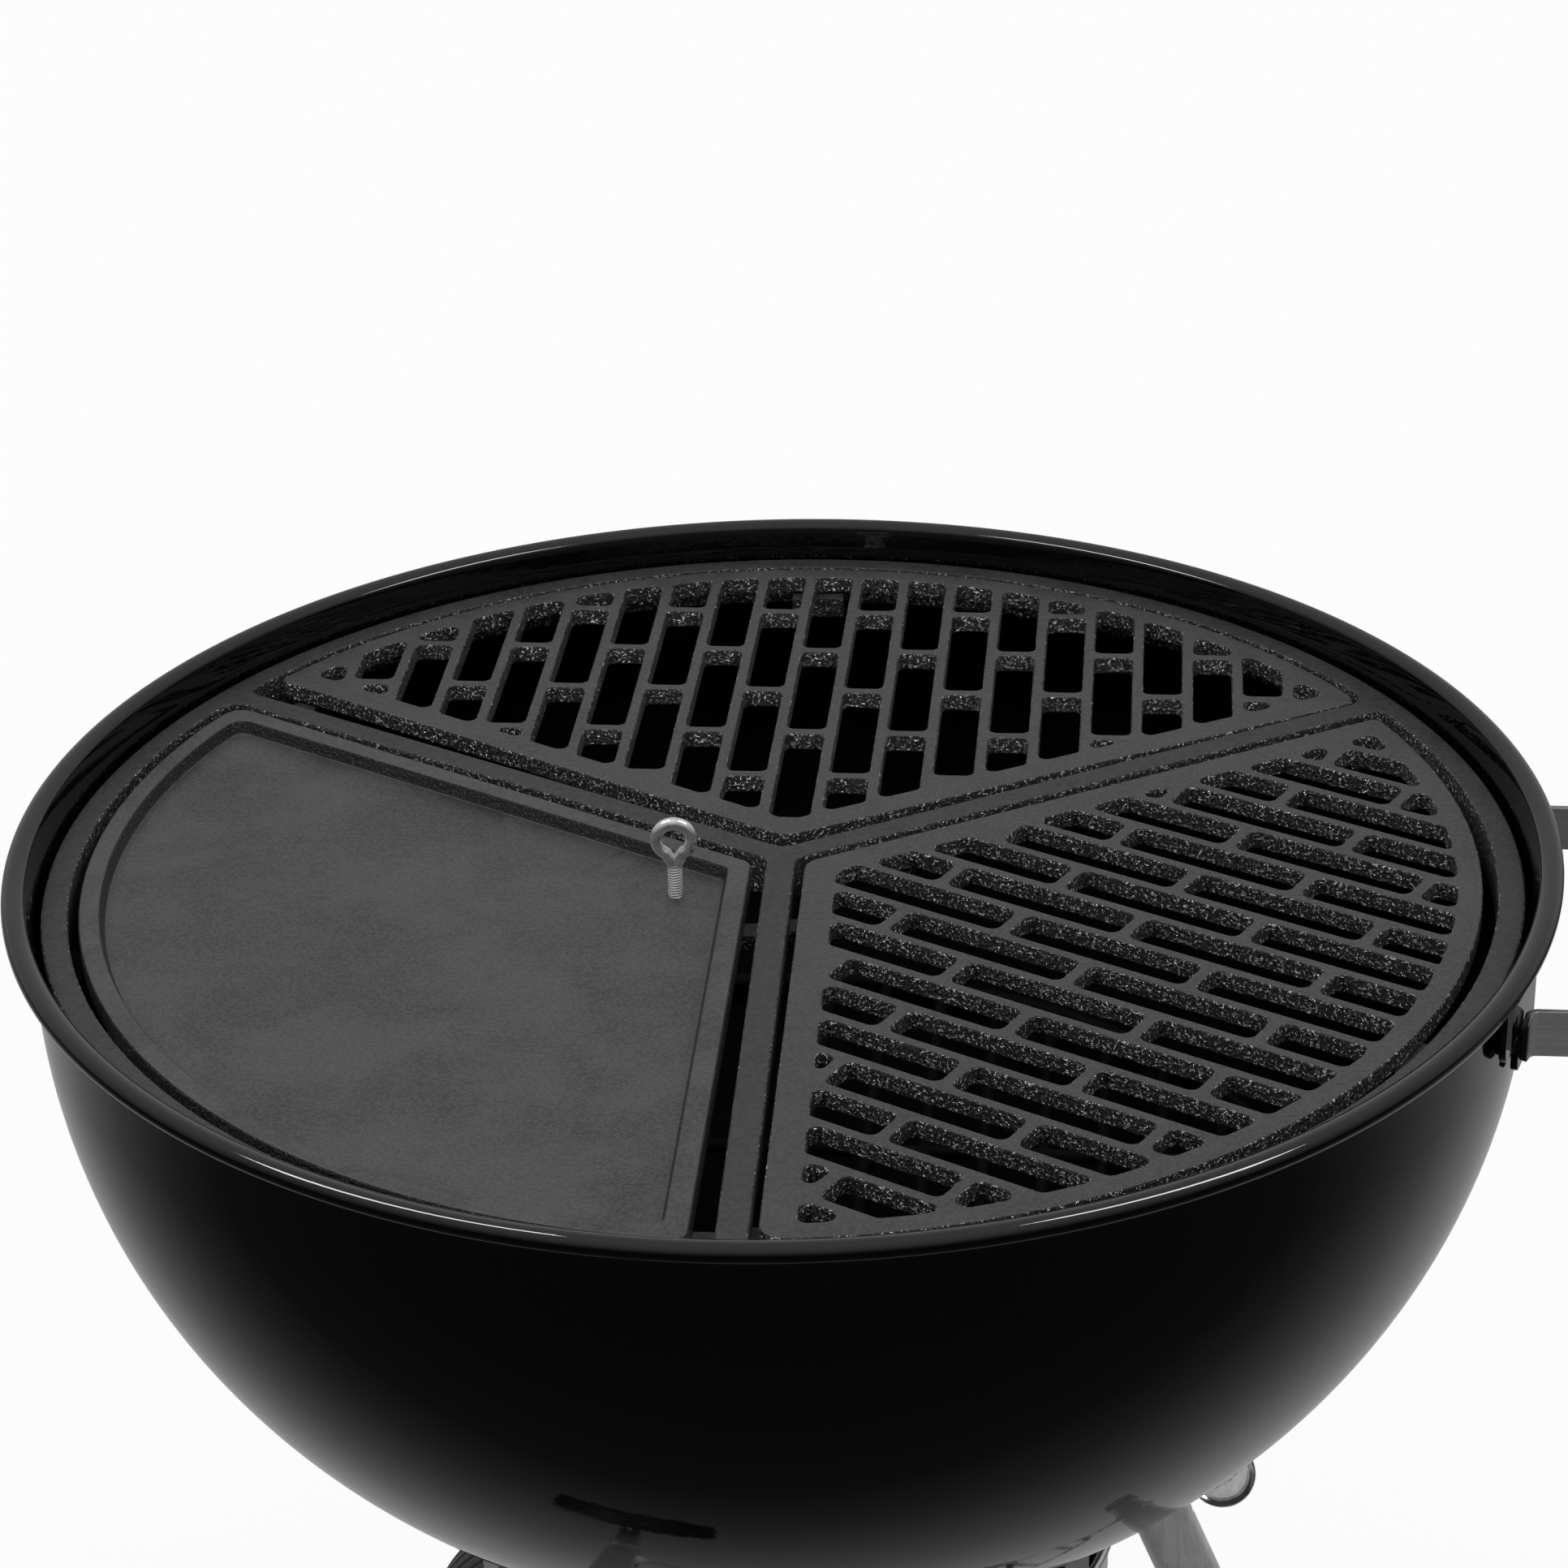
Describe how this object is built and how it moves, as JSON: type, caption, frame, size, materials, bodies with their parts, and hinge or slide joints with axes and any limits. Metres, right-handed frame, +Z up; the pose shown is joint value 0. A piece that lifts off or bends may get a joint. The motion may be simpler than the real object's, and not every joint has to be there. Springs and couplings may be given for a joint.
{
  "type": "kettle charcoal grill",
  "caption": "Open kettle charcoal grill on a wheeled tripod, with a cast iron griddle and slotted grates, a bottom damper and an ash bucket.",
  "frame": {"origin": "on the floor, under the middle of the whole object's box", "axes": "+Z up, +X towards the handle and the leg without a wheel, -Y towards the front, from which the griddle is on the left"},
  "size_m": [0.6372, 0.5966, 0.7168],
  "materials": {
    "enamel": "glossy black porcelain enamel on steel sheet",
    "iron": "seasoned dark cast iron with a fine grain",
    "aluminium": "satin",
    "steel": "brushed or plain bright steel",
    "zinc": "bright zinc plate",
    "plastic": "fine matt texture"
  },
  "bodies": {
    "stand": {"bowl": "enamel", "cooking_ledge_1": "steel", "cooking_ledge_2": "steel", "cooking_ledge_3": "steel", "cooking_ledge_4": "steel", "leg_socket_right": "enamel", "leg_socket_front": "enamel", "leg_socket_rear": "enamel", "leg_right": "aluminium", "leg_front": "aluminium", "leg_rear": "aluminium", "foot_cap": "plastic", "axle": "steel", "axle_cap_front": "steel", "axle_cap_rear": "steel", "lower_rack": "steel", "rack_clip_right": "steel", "rack_clip_front": "steel", "rack_clip_rear": "steel", "ash_skirt": "enamel", "bucket_clip_1": "steel", "bucket_clip_2": "steel", "bucket_clip_3": "steel", "handle_ear_front": "enamel", "handle_ear_rear": "enamel", "handle_arm_front": "steel", "handle_arm_rear": "steel", "handle_bolt_front": "zinc", "handle_bolt_rear": "zinc", "handle_grip": "plastic", "grip_screw_front": "zinc", "grip_screw_rear": "zinc"},
    "front_wheel": {"wheel_front": "plastic"},
    "rear_wheel": {"wheel_rear": "plastic"},
    "damper": {"damper_rotor": "steel", "damper_shaft": "steel", "damper_nut": "zinc", "damper_lever": "steel", "lever_pull": "zinc"},
    "bucket": {"ash_bucket": "aluminium", "bucket_handle": "steel"},
    "charcoal": {"charcoal_grate": "steel"},
    "carrier": {"grate_carrier": "iron"},
    "griddle": {"griddle_plate": "iron"},
    "rear_grate": {"rear_slot_grate": "iron"},
    "right_grate": {"right_slot_grate": "iron"},
    "eye": {"eye_bolt": "zinc"}
  },
  "joints": [
    {"name": "front_wheel_spin", "type": "hinge", "parent": "stand", "child": "front_wheel", "pos_m": [-0.17017, -0.2765, 0.083], "axis": [0, 1, 0], "continuous": true},
    {"name": "rear_wheel_spin", "type": "hinge", "parent": "stand", "child": "rear_wheel", "pos_m": [-0.17017, 0.2765, 0.083], "axis": [0, 1, 0], "continuous": true},
    {"name": "damper_turn", "type": "hinge", "parent": "stand", "child": "damper", "pos_m": [-0.03375, 0, 0.43], "axis": [0, 0, 1], "range_deg": [0, 60]},
    {"name": "bucket_drop", "type": "slide", "parent": "stand", "child": "bucket", "axis": [0, 0, -1], "range_m": [0, 0.085]},
    {"name": "charcoal_lift", "type": "slide", "parent": "stand", "child": "charcoal", "axis": [0, 0, 1], "range_m": [0, 0.06]},
    {"name": "carrier_lift", "type": "slide", "parent": "stand", "child": "carrier", "axis": [0, 0, 1], "range_m": [0, 0.15]},
    {"name": "griddle_lift", "type": "slide", "parent": "carrier", "child": "griddle", "axis": [0, 0, 1], "range_m": [0, 0.12]},
    {"name": "rear_grate_lift", "type": "slide", "parent": "carrier", "child": "rear_grate", "axis": [0, 0, 1], "range_m": [0, 0.12]},
    {"name": "right_grate_lift", "type": "slide", "parent": "carrier", "child": "right_grate", "axis": [0, 0, 1], "range_m": [0, 0.12]},
    {"name": "eye_bolt_turn", "type": "hinge", "parent": "griddle", "child": "eye", "pos_m": [-0.07075, -0.024, 0.69], "axis": [0, 0, 1], "continuous": true}
  ]
}
